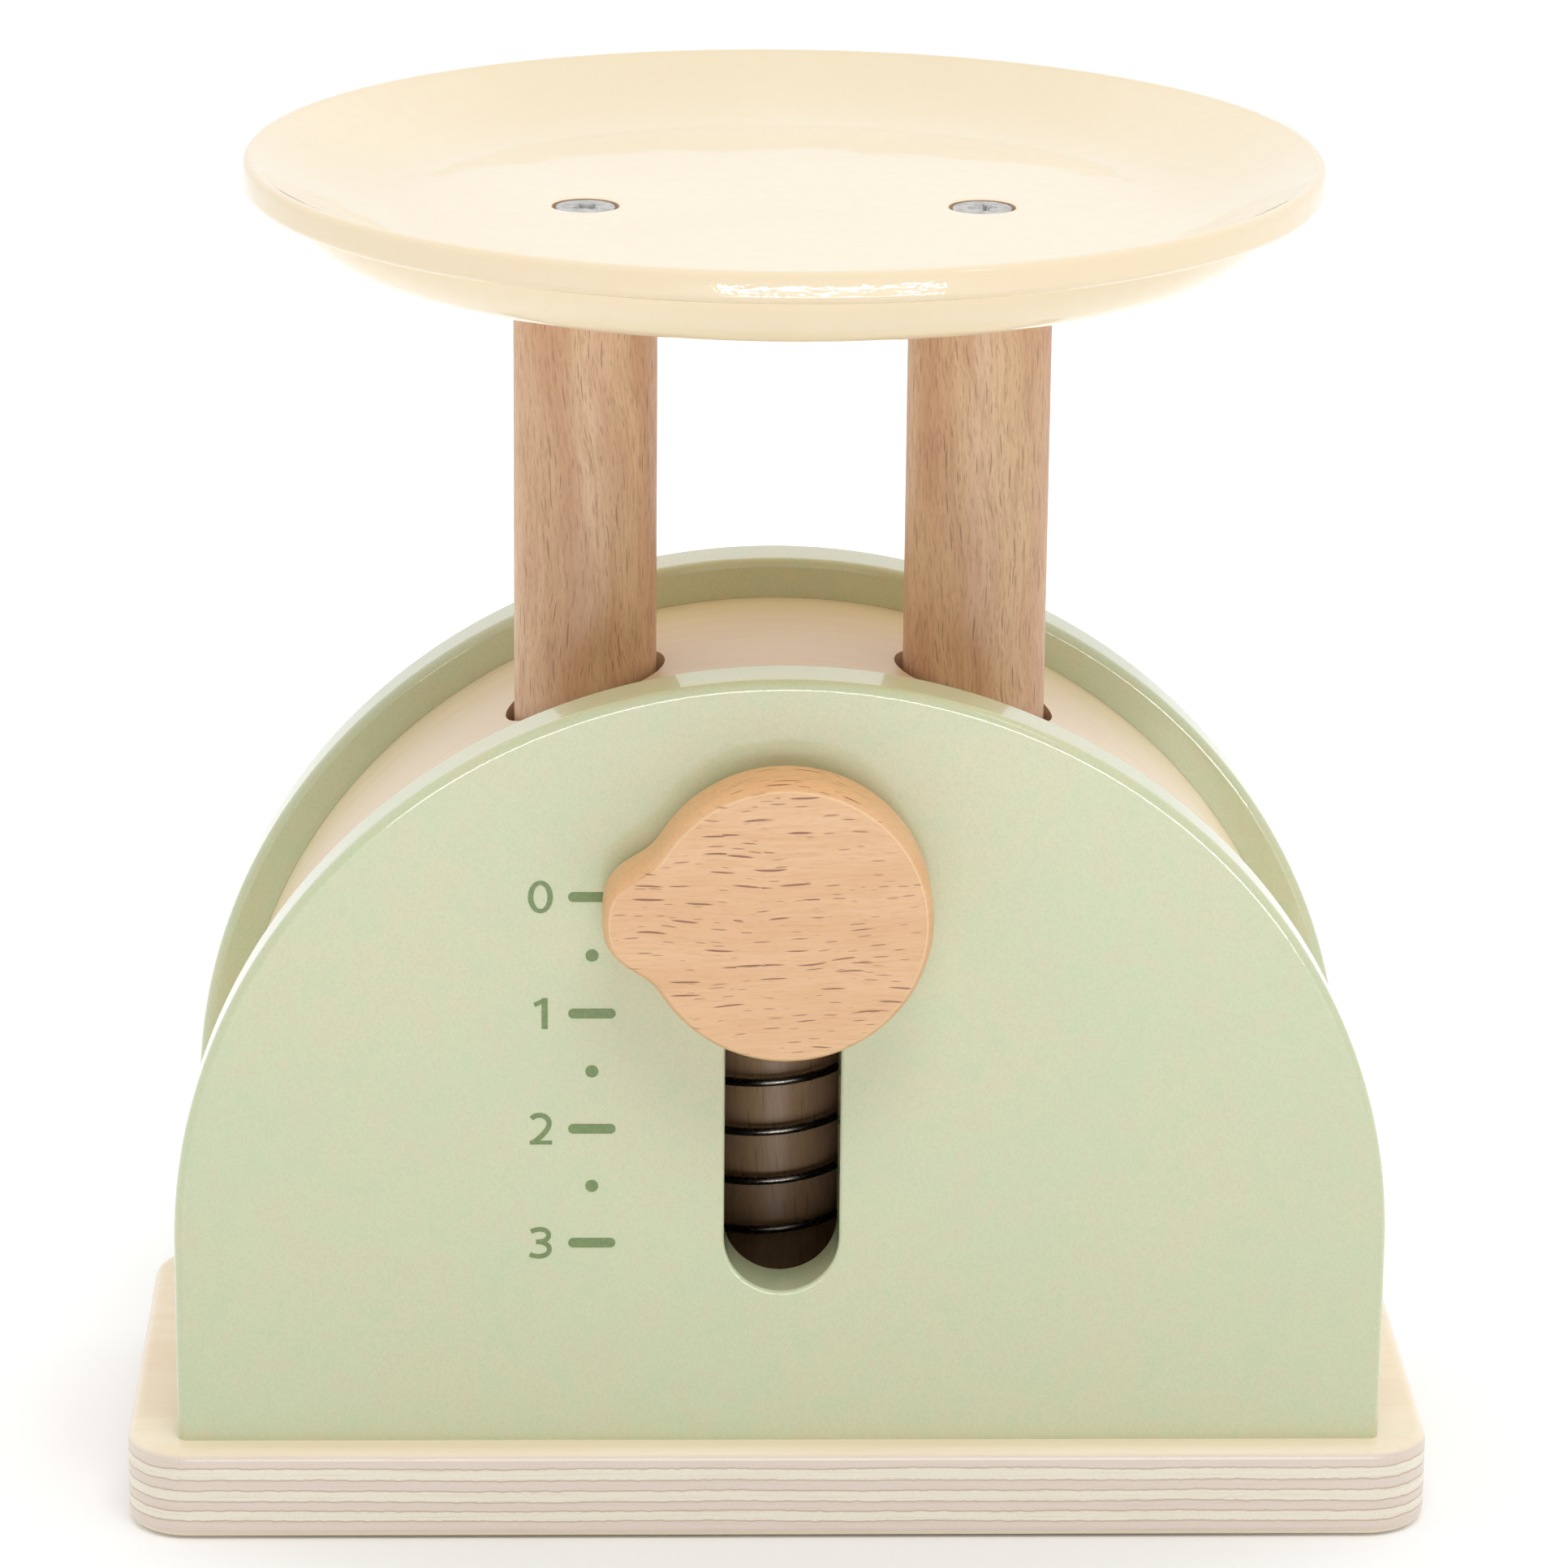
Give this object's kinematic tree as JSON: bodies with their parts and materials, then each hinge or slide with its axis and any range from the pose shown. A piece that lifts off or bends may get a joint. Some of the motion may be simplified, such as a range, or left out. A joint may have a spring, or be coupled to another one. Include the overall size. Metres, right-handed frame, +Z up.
{
  "type": "toy kitchen scale",
  "caption": "Wooden toy kitchen scale: a round tray on posts presses a sprung carriage down inside an arched case, and a beaked pointer follows along a slot in the front.",
  "frame": {"origin": "middle of the base plate's underside", "axes": "+Z up through the tray, +X to the right seen from the front, +Y from the slotted front to the back"},
  "size_m": [0.165, 0.1342, 0.171],
  "materials": {
    "plywood": "clear lacquered birch plywood",
    "green_paint": "semi-gloss sage green paint",
    "cover_lacquer": "satin lacquered bent plywood",
    "post_wood": "oiled beech",
    "guide_wood": "plain beech dowel",
    "pointer_wood": "satin lacquered beech",
    "block_wood": "plain beech",
    "tray_lacquer": "glossy cream lacquer",
    "screw_steel": "zinc plated",
    "spring_steel": "drawn wire"
  },
  "bodies": {
    "case": {"base_plate": "plywood", "front_panel": "green_paint", "back_panel": "green_paint", "arch_cover": "cover_lacquer", "front_panel_screw_left": "screw_steel", "front_panel_screw_right": "screw_steel", "back_panel_screw_left": "screw_steel", "back_panel_screw_right": "screw_steel", "guide_post": "guide_wood", "guide_post_screw": "screw_steel", "spring": "spring_steel"},
    "weighing_unit": {"carriage": "block_wood", "carriage_screw_left": "screw_steel", "carriage_screw_right": "screw_steel", "left_post": "post_wood", "right_post": "post_wood", "pointer_peg": "block_wood", "pointer": "pointer_wood", "tray": "tray_lacquer", "tray_screw_left": "screw_steel", "tray_screw_right": "screw_steel"}
  },
  "joints": [
    {"name": "tray_press", "type": "slide", "parent": "case", "child": "weighing_unit", "axis": [0, 0, -1], "range_m": [0, 0.0456], "stiffness_N_per_m": 155, "springref_m": -0.016, "deforming": ["spring"]}
  ]
}
